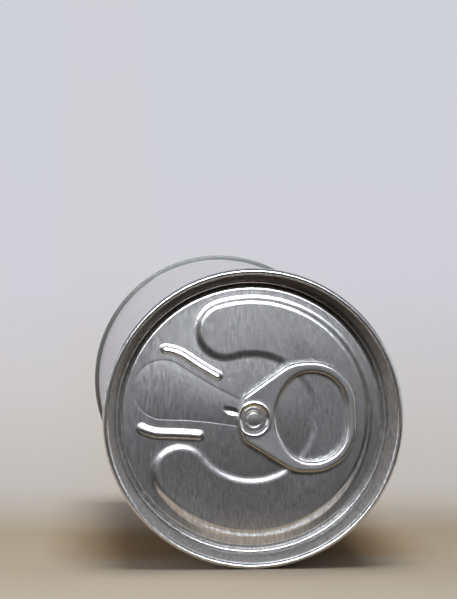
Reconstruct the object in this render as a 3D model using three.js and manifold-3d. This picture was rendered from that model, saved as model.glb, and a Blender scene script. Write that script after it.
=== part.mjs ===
// A straight three-piece drink can, full and shut, lying on its side with its ring-pull end to the front.
// Row frame: millimetres, +Z up, the can's axis along Y, the ring-pull end facing -Y, the floor at z = 0.
import * as THREE from "three";
import { mergeVertices } from "three/addons/utils/BufferGeometryUtils.js";
import Module from "manifold-3d";

const wasm = await Module();
wasm.setup();

// Driving dimensions of the can: a 211 by 413 can, named by its inches and sixteenths
const INCH = 25.4;
const CAN_HEIGHT = (4 + 13 / 16) * INCH;
const SEAM_RADIUS = ((2 + 11 / 16) * INCH) / 2;
const BODY_RADIUS = 33;
const SIDES = 64; // flats round the can, one of which faces straight down

// The double seams, alike at both ends
const SEAM_HEIGHT = 3;
const SEAM_WIDTH = 1.35;
const SEAM_CURL = 0.45; // rounding of a seam's lower edge

// The parts of both ends that lie inside the body wall
const PLUG_RADIUS = 32.4;
const FIT_GAP = 0.3;
const FLOOR_THICKNESS = 0.7; // metal below the deepest groove of an end

// The top end, with depths counted down from the top of its seam
const CHUCK_FOOT_RADIUS = 31.2;
const COUNTERSINK_DEPTH = 6.4;
const SHOULDER_RADIUS = 29.7;
const SHOULDER_ROUND = 0.5;
const PANEL_DEPTH = 5.3;

// The raised C on the panel, open towards the tear strip
const PLATEAU_MID_RADIUS = 20.7;
const PLATEAU_FOOT_HALF_WIDTH = 7.3;
const PLATEAU_SLOPE_WIDTH = 2.2;
const PLATEAU_HEIGHT = 0.75;
const PLATEAU_END_ANGLE = THREE.MathUtils.degToRad(55.8);

// The scored tear strip: a round end, two slightly hollow flanks and a loop round the rivet
const TEAR_AXIS_ANGLE = THREE.MathUtils.degToRad(162.6);
const TEAR_END_CENTRE = 21.25;
const TEAR_END_RADIUS = 6.85;
const TEAR_FLANK_RADIUS = 97;
const TEAR_FLANK_ANGLE = THREE.MathUtils.degToRad(17);
const TEAR_LOOP_RADIUS = 2.75;
const SCORE_WIDTH = 0.3;
const SCORE_DEPTH = 0.15;

// The two stiffening beads, which run beside the score
const BEAD_OFFSET = 2.8;
const BEAD_HALF_WIDTH = 1.5;
const BEAD_CREST_HALF_WIDTH = 0.15;
const BEAD_HEIGHT = 0.8;
const BEAD_INNER_REACH = 10.3; // distance from the rivet, along the strip, of a bead's inner end
const BEAD_OUTER_ANGLE = THREE.MathUtils.degToRad(71);

// The dimple in the strip ahead of the tab's nose
const DIMPLE_CENTRE = 4.9;
const DIMPLE_HALF_LENGTH = 2.1;
const DIMPLE_HALF_WIDTH = 1.1;
const DIMPLE_DEPTH = 0.45;

// The rivet, drawn up out of the panel a little off the can's axis, with heights above the panel
const RIVET_X = 0.27;
const RIVET_Y = -0.2;
const RIVET_STEM_RADIUS = 1.5;
const RIVET_HEAD_RADIUS = 2.35;
const RIVET_HEAD_UNDERSIDE = 1.7;
const RIVET_HEAD_TOP = 1.95;
const RIVET_BUTTON_RADIUS = 1.6;
const RIVET_BUTTON_TOP = 2.5;
const RIVET_SIDES = 32;

// The ring tab, with lengths counted from the rivet towards the ring
const TAB_TURN = THREE.MathUtils.degToRad(1.7);
const TAB_UNDERSIDE = 1.05;
const TAB_THICKNESS = 1.2;
const TAB_EDGE_ROUND = 0.45;
const TAB_NOSE_RADIUS = 3.75;
const TAB_EAR = { x: -1.5, y: 4.66, radius: 0.8 };
const TAB_SHOULDER = { x: 11.5, y: 4.07, radius: 8.5 };
const TAB_CORNER = { x: 13.3, y: 2.55, radius: 10.05 };
const RING_HOLE = { x: 13.25, cornerY: 2.15, cornerRadius: 8.05, reachBack: 8.25 };
const TAB_RIVET_HOLE_RADIUS = 1.8;
const TAB_DISH = { floorRadius: 2.65, rimRadius: 3.35, floor: 1.4 };
const TAB_COLLAR = { crestRadius: 3.5, footRadius: 3.62, height: 0.2 };

// The bottom end, with depths counted from the foot of its seam
const BASE_CHUCK_FOOT_RADIUS = 31.6;
const BASE_COUNTERSINK_DEPTH = 4.6;
const BASE_SHOULDER_RADIUS = 30.3;
const BASE_PANEL_DEPTH = 3.7;
const BASE_STEP_RADIUS = 23;
const BASE_STEP_WIDTH = 1.2;
const BASE_STEP_HEIGHT = 0.7;

// The lapped side seam of the body, low on the side away from the view
const LAP_WIDTH = 4.5;
const LAP_HEIGHT = 0.25;
const LAP_ANGLE = THREE.MathUtils.degToRad(-52);

// Solids and meshes

function solidOf(geometry) {
  const bare = geometry.clone();
  bare.deleteAttribute("normal");
  bare.deleteAttribute("uv");
  const merged = mergeVertices(bare, 1e-4);
  return new wasm.Manifold(
    new wasm.Mesh({
      numProp: 3,
      vertProperties: new Float32Array(merged.attributes.position.array),
      triVerts: new Uint32Array(merged.index.array),
    }),
  );
}

function geometryOf(solid) {
  const { vertProperties, triVerts } = solid.getMesh();
  const geometry = new THREE.BufferGeometry();
  geometry.setAttribute("position", new THREE.BufferAttribute(vertProperties, 3));
  geometry.setIndex(new THREE.BufferAttribute(triVerts, 1));
  geometry.computeVertexNormals();
  return geometry;
}

function metal(color, roughness, metalness = 1) {
  return new THREE.MeshStandardMaterial({ color, roughness, metalness });
}

function named(name, geometry, material) {
  const mesh = new THREE.Mesh(geometry, material);
  mesh.name = name;
  return mesh;
}

// Turns a profile of radius and height about +Z. The flats are centred on the X and Y axes.
function turned(profile, sides = SIDES) {
  const points = profile.map(([radius, height]) => new THREE.Vector2(radius, height));
  return new THREE.LatheGeometry(points, sides, Math.PI / sides).rotateX(Math.PI / 2);
}

// Points on an arc of a profile, both ends included.
function arcPoints(radius, height, size, from, to, steps) {
  return Array.from({ length: steps + 1 }, (_, i) => {
    const angle = THREE.MathUtils.degToRad(from + ((to - from) * i) / steps);
    return [radius + size * Math.cos(angle), height + size * Math.sin(angle)];
  });
}

// A flat-topped relief whose sides round down to its outline, sunk into the panel.
function relief(shape, height, slopeWidth, curveSegments) {
  const sunk = 0.4;
  return new THREE.ExtrudeGeometry(shape, {
    depth: sunk,
    bevelThickness: height,
    bevelSize: slopeWidth,
    bevelOffset: -slopeWidth,
    bevelSegments: 3,
    curveSegments,
  }).translate(0, 0, -sunk);
}

// The outside of one double seam, from the top of the chuck wall over the crest and round to the plug.
function seamProfile(crestHeight, down) {
  const half = SEAM_WIDTH / 2;
  const middle = SEAM_RADIUS - half;
  const foot = crestHeight + down * SEAM_HEIGHT;
  const crest = arcPoints(middle, 0, half, 180, 0, 6).map(([r, h]) => [r, crestHeight + down * (half - h)]);
  return [
    ...crest,
    [SEAM_RADIUS, foot - down * SEAM_CURL],
    [SEAM_RADIUS - SEAM_CURL, foot],
    [PLUG_RADIUS, foot],
  ];
}

// The top end

function tearOutline(offset) {
  const reach = TEAR_FLANK_RADIUS + TEAR_END_RADIUS;
  const flankX = TEAR_END_CENTRE - reach * Math.sin(TEAR_FLANK_ANGLE);
  const flankY = reach * Math.cos(TEAR_FLANK_ANGLE);
  const endAngle = Math.PI / 2 + TEAR_FLANK_ANGLE;
  const loopAngle = Math.atan2(flankY, flankX);
  return { flankX, flankY, endAngle, loopAngle, flankRadius: TEAR_FLANK_RADIUS - offset };
}

function tearShape(offset) {
  const { flankX, flankY, endAngle, loopAngle, flankRadius } = tearOutline(offset);
  const shape = new THREE.Shape();
  shape.absarc(TEAR_END_CENTRE, 0, TEAR_END_RADIUS + offset, -endAngle, endAngle, false);
  shape.absarc(flankX, flankY, flankRadius, endAngle - Math.PI, loopAngle - Math.PI, true);
  shape.absarc(0, 0, TEAR_LOOP_RADIUS + offset, loopAngle, 2 * Math.PI - loopAngle, false);
  shape.absarc(flankX, -flankY, flankRadius, Math.PI - loopAngle, Math.PI - endAngle, true);
  return shape;
}

function scoreGroove() {
  const shape = tearShape(SCORE_WIDTH / 2);
  shape.holes.push(tearShape(-SCORE_WIDTH / 2));
  const options = { depth: 2 * SCORE_DEPTH, bevelEnabled: false, curveSegments: 12 };
  return new THREE.ExtrudeGeometry(shape, options).translate(0, 0, -SCORE_DEPTH);
}

// A bead is an outline parallel to the score: along the flank, then a little way round the strip's end.
function bead(side) {
  const { flankX, flankY, endAngle, flankRadius } = tearOutline(BEAD_OFFSET);
  const endRadius = TEAR_END_RADIUS + BEAD_OFFSET;
  const start = -Math.acos((BEAD_INNER_REACH - flankX) / flankRadius);
  const join = endAngle - Math.PI;
  const half = BEAD_HALF_WIDTH;
  const innerX = flankX + flankRadius * Math.cos(start);
  const innerY = flankY + flankRadius * Math.sin(start);
  const outerX = TEAR_END_CENTRE + endRadius * Math.cos(BEAD_OUTER_ANGLE);
  const outerY = endRadius * Math.sin(BEAD_OUTER_ANGLE);
  const shape = new THREE.Shape();
  shape.absarc(flankX, flankY, flankRadius + half, start, join, false);
  shape.absarc(TEAR_END_CENTRE, 0, endRadius - half, endAngle, BEAD_OUTER_ANGLE, true);
  shape.absarc(outerX, outerY, half, BEAD_OUTER_ANGLE - Math.PI, BEAD_OUTER_ANGLE, false);
  shape.absarc(TEAR_END_CENTRE, 0, endRadius + half, BEAD_OUTER_ANGLE, endAngle, false);
  shape.absarc(flankX, flankY, flankRadius - half, join, start, true);
  shape.absarc(innerX, innerY, half, start + Math.PI, start + 2 * Math.PI, false);
  const ridge = relief(shape, BEAD_HEIGHT, half - BEAD_CREST_HALF_WIDTH, 4);
  return side > 0 ? ridge : mirroredAcrossStrip(ridge);
}

// A mirror image in the strip's long axis, with its faces turned back outwards.
function mirroredAcrossStrip(geometry) {
  const mirrored = geometry.index ? geometry.toNonIndexed() : geometry.clone();
  mirrored.scale(1, -1, 1);
  const { array } = mirrored.attributes.position;
  for (let i = 0; i < array.length; i += 9) {
    const second = array.slice(i + 3, i + 6);
    array.copyWithin(i + 3, i + 6, i + 9);
    array.set(second, i + 6);
  }
  return mirrored;
}

function plateau() {
  const outer = PLATEAU_MID_RADIUS + PLATEAU_FOOT_HALF_WIDTH;
  const inner = PLATEAU_MID_RADIUS - PLATEAU_FOOT_HALF_WIDTH;
  const end = PLATEAU_END_ANGLE;
  const far = 2 * Math.PI - end;
  const endX = PLATEAU_MID_RADIUS * Math.cos(end);
  const endY = PLATEAU_MID_RADIUS * Math.sin(end);
  const shape = new THREE.Shape();
  shape.absarc(0, 0, outer, end, far, false);
  shape.absarc(endX, -endY, PLATEAU_FOOT_HALF_WIDTH, far, far + Math.PI, false);
  shape.absarc(0, 0, inner, far, end, true);
  shape.absarc(endX, endY, PLATEAU_FOOT_HALF_WIDTH, end + Math.PI, end + 2 * Math.PI, false);
  return relief(shape, PLATEAU_HEIGHT, PLATEAU_SLOPE_WIDTH, 16);
}

function dimple() {
  return new THREE.SphereGeometry(1, 16, 12)
    .scale(DIMPLE_HALF_LENGTH, DIMPLE_HALF_WIDTH, DIMPLE_DEPTH)
    .translate(DIMPLE_CENTRE, 0, 0);
}

function rivet() {
  const sunk = -0.4;
  return turned(
    [
      [0, sunk],
      [RIVET_STEM_RADIUS, sunk],
      [RIVET_STEM_RADIUS, RIVET_HEAD_UNDERSIDE],
      [RIVET_HEAD_RADIUS, RIVET_HEAD_UNDERSIDE],
      [RIVET_HEAD_RADIUS, RIVET_HEAD_TOP],
      [RIVET_BUTTON_RADIUS + 0.4, RIVET_HEAD_TOP],
      [RIVET_BUTTON_RADIUS, RIVET_BUTTON_TOP - 0.1],
      [RIVET_BUTTON_RADIUS - 0.3, RIVET_BUTTON_TOP],
      [0, RIVET_BUTTON_TOP],
    ],
    RIVET_SIDES,
  );
}

function topEnd() {
  const panel = CAN_HEIGHT - PANEL_DEPTH;
  const groove = CAN_HEIGHT - COUNTERSINK_DEPTH;
  const underside = groove - FLOOR_THICKNESS;
  const grooveHalf = (CHUCK_FOOT_RADIUS - SHOULDER_RADIUS) / 2;
  const grooveMiddle = (CHUCK_FOOT_RADIUS + SHOULDER_RADIUS) / 2;
  const shell = turned(
    [
      [0, underside],
      [PLUG_RADIUS, underside],
      ...seamProfile(CAN_HEIGHT, -1).reverse(),
      ...arcPoints(grooveMiddle, groove + grooveHalf, grooveHalf, 0, -180, 4),
      ...arcPoints(SHOULDER_RADIUS - SHOULDER_ROUND, panel - SHOULDER_ROUND, SHOULDER_ROUND, 0, 90, 3),
      [0, panel],
    ],
  );
  const onPanel = (geometry) => solidOf(geometry.rotateZ(TEAR_AXIS_ANGLE).translate(0, 0, panel));
  const raised = [plateau(), bead(1), bead(-1)].map(onPanel);
  raised.push(solidOf(rivet().translate(RIVET_X, RIVET_Y, panel)));
  const sunken = [scoreGroove(), dimple()].map(onPanel);
  let solid = solidOf(shell);
  for (const form of raised) solid = solid.add(form);
  for (const form of sunken) solid = solid.subtract(form);
  return geometryOf(solid);
}

// The ring tab

// The outline round a list of circles, which run counterclockwise: arcs joined by their common tangents.
function outlineRound(circles) {
  const normals = circles.map((one, i) => {
    const next = circles[(i + 1) % circles.length];
    const across = Math.hypot(next.x - one.x, next.y - one.y);
    const heading = Math.atan2(next.y - one.y, next.x - one.x);
    return heading - Math.acos((one.radius - next.radius) / across);
  });
  const shape = new THREE.Shape();
  circles.forEach(({ x, y, radius }, i) => {
    const from = normals[(i + circles.length - 1) % circles.length];
    const to = normals[i];
    shape.absarc(x, y, radius, from, to < from ? to + 2 * Math.PI : to, false);
  });
  return shape;
}

function tabOutline() {
  const below = [TAB_EAR, TAB_SHOULDER, TAB_CORNER].map(({ x, y, radius }) => ({ x, y: -y, radius }));
  const above = [TAB_CORNER, TAB_SHOULDER, TAB_EAR];
  return outlineRound([...below, ...above, { x: 0, y: 0, radius: TAB_NOSE_RADIUS }]);
}

function ringHole() {
  const { x, cornerY, cornerRadius, reachBack } = RING_HOLE;
  const halfHeight = cornerY + cornerRadius;
  const hole = new THREE.Path();
  hole.absarc(x, -cornerY, cornerRadius, -Math.PI / 2, 0, false);
  hole.absarc(x, cornerY, cornerRadius, 0, Math.PI / 2, false);
  hole.absellipse(x, 0, reachBack, halfHeight, Math.PI / 2, (3 * Math.PI) / 2, false, 0);
  return hole;
}

function pullTab() {
  const top = TAB_UNDERSIDE + TAB_THICKNESS;
  const outline = tabOutline();
  outline.holes.push(ringHole());
  const plate = new THREE.ExtrudeGeometry(outline, {
    depth: TAB_THICKNESS - 2 * TAB_EDGE_ROUND,
    bevelThickness: TAB_EDGE_ROUND,
    bevelSize: TAB_EDGE_ROUND,
    bevelOffset: -TAB_EDGE_ROUND,
    bevelSegments: 3,
    curveSegments: 7,
  }).translate(0, 0, TAB_UNDERSIDE + TAB_EDGE_ROUND);
  const middle = TAB_UNDERSIDE + TAB_THICKNESS / 2;
  const crest = top + TAB_COLLAR.height;
  const collar = turned(
    [
      [0, middle],
      [TAB_COLLAR.footRadius, middle],
      [TAB_COLLAR.footRadius, top],
      [TAB_COLLAR.crestRadius, crest],
      [0, crest],
    ],
    RIVET_SIDES,
  );
  const dish = turned(
    [
      [0, TAB_DISH.floor],
      [TAB_DISH.floorRadius, TAB_DISH.floor],
      [TAB_DISH.rimRadius, crest],
      [TAB_DISH.rimRadius, crest + FIT_GAP],
      [0, crest + FIT_GAP],
    ],
    RIVET_SIDES,
  );
  const hole = turned(
    [
      [0, 0],
      [TAB_RIVET_HOLE_RADIUS, 0],
      [TAB_RIVET_HOLE_RADIUS, top],
      [0, top],
    ],
    RIVET_SIDES,
  );
  return geometryOf(solidOf(plate).add(solidOf(collar)).subtract(solidOf(dish)).subtract(solidOf(hole)));
}

// The bottom end

function bottomEnd() {
  const panel = BASE_PANEL_DEPTH;
  const groove = BASE_COUNTERSINK_DEPTH;
  const inside = groove + FLOOR_THICKNESS;
  const grooveHalf = (BASE_CHUCK_FOOT_RADIUS - BASE_SHOULDER_RADIUS) / 2;
  const grooveMiddle = (BASE_CHUCK_FOOT_RADIUS + BASE_SHOULDER_RADIUS) / 2;
  return turned([
    [0, panel - BASE_STEP_HEIGHT],
    [BASE_STEP_RADIUS - BASE_STEP_WIDTH, panel - BASE_STEP_HEIGHT],
    [BASE_STEP_RADIUS, panel],
    [BASE_SHOULDER_RADIUS - SHOULDER_ROUND, panel],
    ...arcPoints(grooveMiddle, groove - grooveHalf, grooveHalf, 180, 0, 4),
    ...seamProfile(0, 1),
    [PLUG_RADIUS, inside],
    [0, inside],
  ]);
}

// The body: a wall that stands up round both ends, filled, because nothing shows inside a shut can

function canBody() {
  const wallInside = PLUG_RADIUS + FIT_GAP;
  const low = BASE_COUNTERSINK_DEPTH + FLOOR_THICKNESS + FIT_GAP;
  const high = CAN_HEIGHT - COUNTERSINK_DEPTH - FLOOR_THICKNESS - FIT_GAP;
  const wallFoot = SEAM_HEIGHT + FIT_GAP;
  const wallTop = CAN_HEIGHT - SEAM_HEIGHT - FIT_GAP;
  const tube = turned([
    [0, low],
    [wallInside, low],
    [wallInside, wallFoot],
    [BODY_RADIUS, wallFoot],
    [BODY_RADIUS, wallTop],
    [wallInside, wallTop],
    [wallInside, high],
    [0, high],
  ]);
  const lapSunk = 1;
  const lapLength = wallTop - wallFoot - 2 * LAP_WIDTH;
  const lap = new THREE.BoxGeometry(lapSunk + LAP_HEIGHT, LAP_WIDTH, lapLength)
    .translate(BODY_RADIUS + (LAP_HEIGHT - lapSunk) / 2, 0, CAN_HEIGHT / 2)
    .rotateZ(LAP_ANGLE);
  return geometryOf(solidOf(tube).add(solidOf(lap)));
}

// The can, built upright on its axis and then laid on its side

const can = new THREE.Group();
can.add(named("can_body", canBody(), metal(0xe4e1e2, 0.3, 0)));
can.add(named("bottom_end", bottomEnd(), metal(0xaeb2b0, 0.35)));
can.add(named("top_end", topEnd(), metal(0xa9abad, 0.35)));

const tab = named("pull_tab", pullTab(), metal(0xb4b5b6, 0.3));
tab.rotation.z = TAB_TURN;
tab.position.set(RIVET_X, RIVET_Y, CAN_HEIGHT - PANEL_DEPTH);
can.add(tab);

can.rotation.x = Math.PI / 2;
can.position.set(0, CAN_HEIGHT / 2, SEAM_RADIUS * Math.cos(Math.PI / SIDES));

const part = new THREE.Group();
part.add(can);

export default part;
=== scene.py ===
"""A shut drink can of plain white enamel, lying on its side with its ring-pull end to the front.

Lengths are in millimetres until world() turns them into the frame's metres. A point of the can is
given by x to the right and y upwards from its axis, and by its depth behind the rim at the front.
The floor, the cards and the lights of the stage are given in metres.
"""

import math

import bpy
import bmesh
import numpy as np
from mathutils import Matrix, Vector
from mathutils.geometry import delaunay_2d_cdt

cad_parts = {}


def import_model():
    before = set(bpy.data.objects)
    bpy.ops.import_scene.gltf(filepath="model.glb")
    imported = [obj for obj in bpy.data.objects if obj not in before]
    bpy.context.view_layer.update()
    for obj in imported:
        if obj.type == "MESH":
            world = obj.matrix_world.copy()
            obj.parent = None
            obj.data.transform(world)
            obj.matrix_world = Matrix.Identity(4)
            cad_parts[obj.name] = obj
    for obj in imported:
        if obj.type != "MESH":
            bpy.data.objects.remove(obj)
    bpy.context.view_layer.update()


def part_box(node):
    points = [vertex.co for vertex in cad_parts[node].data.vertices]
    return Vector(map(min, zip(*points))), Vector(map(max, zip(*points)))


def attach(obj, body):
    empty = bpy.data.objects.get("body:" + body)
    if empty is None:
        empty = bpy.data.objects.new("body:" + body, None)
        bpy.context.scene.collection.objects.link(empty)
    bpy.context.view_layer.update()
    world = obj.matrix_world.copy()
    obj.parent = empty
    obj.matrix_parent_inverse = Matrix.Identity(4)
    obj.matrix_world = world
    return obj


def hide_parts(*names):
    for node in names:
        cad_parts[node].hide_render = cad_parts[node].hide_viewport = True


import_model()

MM = 0.001
TURN = 2 * math.pi

# Places and sizes read from the frame
top_low, top_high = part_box("top_end")
_, base_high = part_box("bottom_end")
FRONT = top_low.y / MM
CAN_LENGTH = (base_high.y - top_low.y) / MM
SEAM_RADIUS = (top_high.x - top_low.x) / 2 / MM
AXIS_HEIGHT = (top_low.z + top_high.z) / 2 / MM

# Fineness of the meshes
ROUND = 384  # sides of what is turned about the can's axis
RIVET_ROUND = 96
SLOPE_STEP = 0.2  # between the lines of points that follow a slope
LINE_STEP = 0.3  # between the points on such a line
FILL_STEP = 0.6  # between the points on plain ground
HOLE_STEP = 0.2  # between the points on a ring round the rivet
BEAD_LINES = 17
CREST_GAP = 0.02  # from a bead's crest to the first of its lines
SCORE_LINES = 9
SCORE_SPREAD = 2  # half widths of the score that its lines cover on each side
DIMPLE_RINGS = 10
DIMPLE_SIDES = 36
DIMPLE_SPREAD = 1.1  # size of the largest ring of points against the dimple's
TAB_EDGE_LINES = 10
TAB_RINGS = {"first": 2, "end": 4.2, "step": 0.1}  # radii of the rings of points round the rivet
TAB_RING_MARGIN = 0.3  # share of the edge's rounding that these rings keep clear of
TAB_FILL_REACH = 25
NORMAL_STEP = 0.005  # over which the panel's slope is measured
MERGE_DISTANCE = 1e-5
SLACK = 1e-6  # by which neighbouring stretches of an outline overlap
SHARP_ANGLE = math.radians(50)

# The body wall and its lapped side seam
BODY_RADIUS = 33
WALL_INSIDE = 32.7
FILLING_GAP = 0.3  # between the filling and each end
SEAM_TUCK = 0.1  # by which the wall reaches under each seam
LAP_WIDTH = 4.5
LAP_EDGE = 0.5
LAP_HEIGHT = 0.25
LAP_ANGLE = math.radians(-52)
LAP_END = 4.5  # where the lap thins out, counted from a seam

# The double seams, alike at both ends
SEAM_HEIGHT = 3
SEAM_WIDTH = 1.35
SEAM_CURL = 0.25
PLUG_RADIUS = 32.4  # of what lies hidden inside the body wall
FLOOR_THICKNESS = 0.7  # behind the groove of an end

# The top end, with depths counted from the top of its seam
CHUCK_FOOT_RADIUS = 31.5
CHUCK_FOOT_DEPTH = 5.9
COUNTERSINK_DEPTH = 7.55
SHOULDER_RADIUS = 30.1
SHOULDER_ROUND = 0.9
PANEL_RADIUS = SHOULDER_RADIUS - SHOULDER_ROUND
PANEL_EDGE_DEPTH = 5.9
DOME_HEIGHT = 0.65  # by which the panel's middle stands ahead of its edge
DOME_POWER = 1.5  # the higher, the flatter the dome runs out at the edge

# The raised C on the panel, open towards the tear strip
PLATEAU_MID_RADIUS = 20.7
PLATEAU_FOOT = 7.3  # half its width at the foot
PLATEAU_SLOPE = 2.2  # width of its sloping sides
PLATEAU_HEIGHT = 0.53  # above the panel's edge
PLATEAU_CROWN = 0.25  # share of the panel's dome that the C follows
PLATEAU_END = math.radians(55.8)

# Where the C loses a share of its height: round its lower end, and behind the ring, where the loss
# grows inwards from a radius over a reach, and to the right between two places
PLATEAU_LOW_END = {"loss": 0.4, "reach": 14}
PLATEAU_LEE = {"loss": 0.5, "radius": 22, "reach": 8.6, "from": 6, "to": 12}

# The scored tear strip: a round end, two slightly hollow flanks and a loop round the rivet
STRIP_ANGLE = math.radians(162.6)
TEAR_END_CENTRE = 21.25
TEAR_END_RADIUS = 6.85
TEAR_FLANK_RADIUS = 97
TEAR_FLANK_ANGLE = math.radians(17)
TEAR_LOOP_RADIUS = 2.75
SCORE_HALF_WIDTH = 0.15
SCORE_DEPTH = 0.018  # by which the strip lies below the sheet round it
PILLOW_HEIGHT = 0.06
PILLOW_WIDTH = 5

# The two stiffening beads beside the score, with their widths away from the strip and towards it
BEAD_INNER_REACH = 10.3
UPPER_BEAD = {"side": -1, "offset": 2.15, "away": 1.6, "towards": 0.8, "height": 0.39,
              "end": math.radians(76)}
LOWER_BEAD = {"side": 1, "offset": 3.25, "away": 1.55, "towards": 1.6, "height": 0.27,
              "end": math.radians(79)}

# The dimple in the strip ahead of the tab's nose
DIMPLE_CENTRE = 4.9
DIMPLE_HALF_LENGTH = 2.4
DIMPLE_HALF_WIDTH = 1.0
DIMPLE_DEPTH = 0.2

# The rivet, with heights in front of the datum's depth, as for the tab
TAB_DATUM = 4.8
RIVET_X = 0.27
RIVET_Y = -0.2
RIVET_STEM = {"radius": 1.5, "foot": -0.8}
RIVET_FLANGE = {"radius": 2.85, "underside": 1.7, "top": 1.97}
RIVET_FLANGE_CORNER = 0.3  # by which its front corner is cut, as a share of half its thickness
RIVET_FILLET = {"radius": 1.95, "half_width": 0.1, "foot": 1.75, "middle": 1.78, "top": 1.9}
RIVET_BUTTON = {"radius": 1.62, "foot_radius": 1.66, "foot": 2.2, "round": 0.2, "top": 2.5}

# The ring tab, with lengths counted from the rivet towards the ring, and circles as x, y and radius
TAB_TURN = math.radians(1.7)
TAB_UNDERSIDE = 1.25
TAB_THICKNESS = 1.1
TAB_MIDDLE = TAB_UNDERSIDE + TAB_THICKNESS / 2
TAB_ROUND = TAB_THICKNESS / 2
TAB_EDGE_WIDTH = 0.7  # of the rounding along its edges
TAB_NOSE_RADIUS = 3.75
TAB_EAR = (-1.5, 4.66, 0.8)
TAB_SHOULDER = (11.5, 4.07, 8.5)
TAB_CORNER = (13.3, 2.55, 10.05)
RING_X = 13.25
RING_FRONT = {"y": 2.15, "radius": 8.05}
RING_BACK = {"radius": 7.0, "reach": 8.25}
TAB_HOLE_RADIUS = 1.8
TAB_DISH = {"floor_radius": 2.6, "rim_radius": 3.5, "floor": 1.9}
TAB_COLLAR = {"radius": 3.7, "half_width": 0.4, "height": 0.06}
TAB_LEAN = 0.0175  # rise towards the front per length downwards
TAB_BOW = 0.0012  # by which the ring's upper and lower arms curve forward

# The bottom end, with heights counted from the foot of its seam
BASE_CHUCK_FOOT_RADIUS = 31.6
BASE_COUNTERSINK_DEPTH = 4.6
BASE_SHOULDER_RADIUS = 30.3
BASE_SHOULDER_ROUND = 0.2
BASE_PANEL_DEPTH = 3.7
BASE_STEP_RADIUS = 23
BASE_STEP_WIDTH = 1.2
BASE_STEP_HEIGHT = 0.7
BASE_STEP_POINTS = 13

# The materials
WHITE = (1, 1, 1)
BLACK = (0, 0, 0)
NOISE_RANGE = (0.3, 0.7)  # between which nearly all values of the noise lie
SHEET_CLOUDS = (9, 9, 14)  # size of the patches in which bare sheet is duller
SHEET_ANISOTROPY = 0.2

# The camera, 0.59 m ahead of the can's middle and a little to its left
CAMERA_PLACE = (-43.28, -590.44, 83.77)
CAMERA_TURN = math.radians(4.0588)
CAMERA_TILT = math.radians(2.436)
CAMERA_LENS = 141.82
CAMERA_SENSOR = 36
CAMERA_CLIP = (0.01, 20)  # in metres


# Curves and outlines

class Arc:
    """A round stretch of an outline. Its side is 1 where the outline's outside is away from its centre."""

    def __init__(self, x, y, radius, start, end, side=1):
        self.x = x
        self.y = y
        self.radius = radius
        self.start = start
        self.end = end
        self.side = side

    def offset(self, distance, step):
        """Points along the line that runs this far outside the arc, without its last one."""
        radius = self.radius + self.side * distance
        count = max(1, round(radius * abs(self.end - self.start) / step))
        angles = np.linspace(self.start, self.end, count, endpoint=False)
        return np.column_stack([self.x + radius * np.cos(angles), self.y + radius * np.sin(angles)])

    def distance(self, x, y):
        """How far outside the arc points lie, or infinity where the arc doesn't lie abreast of them."""
        middle = (self.start + self.end) / 2
        turned_by = np.arctan2(y - self.y, x - self.x) - middle
        abreast = np.abs((turned_by + math.pi) % TURN - math.pi) <= abs(self.end - self.start) / 2 + SLACK
        return np.where(abreast, self.side * (np.hypot(x - self.x, y - self.y) - self.radius), np.inf)


class Line:
    """A straight stretch of an outline, with the outline's outside to the right of its run."""

    def __init__(self, start, end):
        self.start = np.asarray(start, float)
        self.run = np.asarray(end, float) - self.start
        self.length = float(np.hypot(*self.run))
        self.outward = np.array([self.run[1], -self.run[0]]) / self.length

    def offset(self, distance, step):
        """Points along the line that runs this far outside, without its last one."""
        shares = np.linspace(0, 1, max(1, round(self.length / step)), endpoint=False)
        return self.start + self.outward * distance + shares[:, None] * self.run

    def distance(self, x, y):
        """How far outside the line points lie, or infinity where the line doesn't lie abreast of them."""
        across = np.stack([x - self.start[0], y - self.start[1]], axis=-1)
        share = across @ self.run / self.length**2
        return np.where(np.abs(share - 0.5) <= 0.5 + SLACK, across @ self.outward, np.inf)


def offset_loop(outline, distance, step):
    return np.vstack([stretch.offset(distance, step) for stretch in outline])


def outside(outline, x, y):
    """How far points lie outside an outline, negative within it."""
    reaches = np.array([stretch.distance(x, y) for stretch in outline])
    nearest = np.abs(reaches).argmin(axis=0)
    return np.take_along_axis(reaches, nearest[None], axis=0)[0]


def circles_outline(circles):
    """The outline round a list of circles, which run counterclockwise: arcs joined by tangents."""
    following = circles[1:] + circles[:1]
    normals = []
    for (x, y, radius), (next_x, next_y, next_radius) in zip(circles, following):
        heading = math.atan2(next_y - y, next_x - x)
        across = math.hypot(next_x - x, next_y - y)
        normals.append(heading - math.acos((radius - next_radius) / across))
    outline = []
    for i, (x, y, radius) in enumerate(circles):
        start = normals[i - 1]
        end = normals[i] if normals[i] >= start else normals[i] + TURN
        leave = np.array([math.cos(normals[i]), math.sin(normals[i])])
        next_x, next_y, next_radius = following[i]
        line_start = np.array([x, y]) + leave * radius
        line_end = np.array([next_x, next_y]) + leave * next_radius
        outline += [Arc(x, y, radius, start, end), Line(line_start, line_end)]
    return outline


def circle(x, y, radius):
    return [Arc(x, y, radius, 0, TURN)]


def smooth(share):
    share = np.clip(share, 0, 1)
    return share * share * (3 - 2 * share)


def stamped(share):
    """A step from 0 to 1 with two even bends, one each way."""
    share = np.clip(share, 0, 1)
    return np.where(share < 0.5, 2 * share**2, 1 - 2 * (1 - share) ** 2)


def hump(share):
    """A smooth hump: 1 where share is 0, and 0 from -1 outwards and from 1 outwards."""
    return (1 - np.clip(share, -1, 1) ** 2) ** 2


# Meshes

def world(points):
    x, y, depth = np.asarray(points, float).T
    return np.column_stack([x, FRONT + depth, AXIS_HEIGHT + y]) * MM


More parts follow.
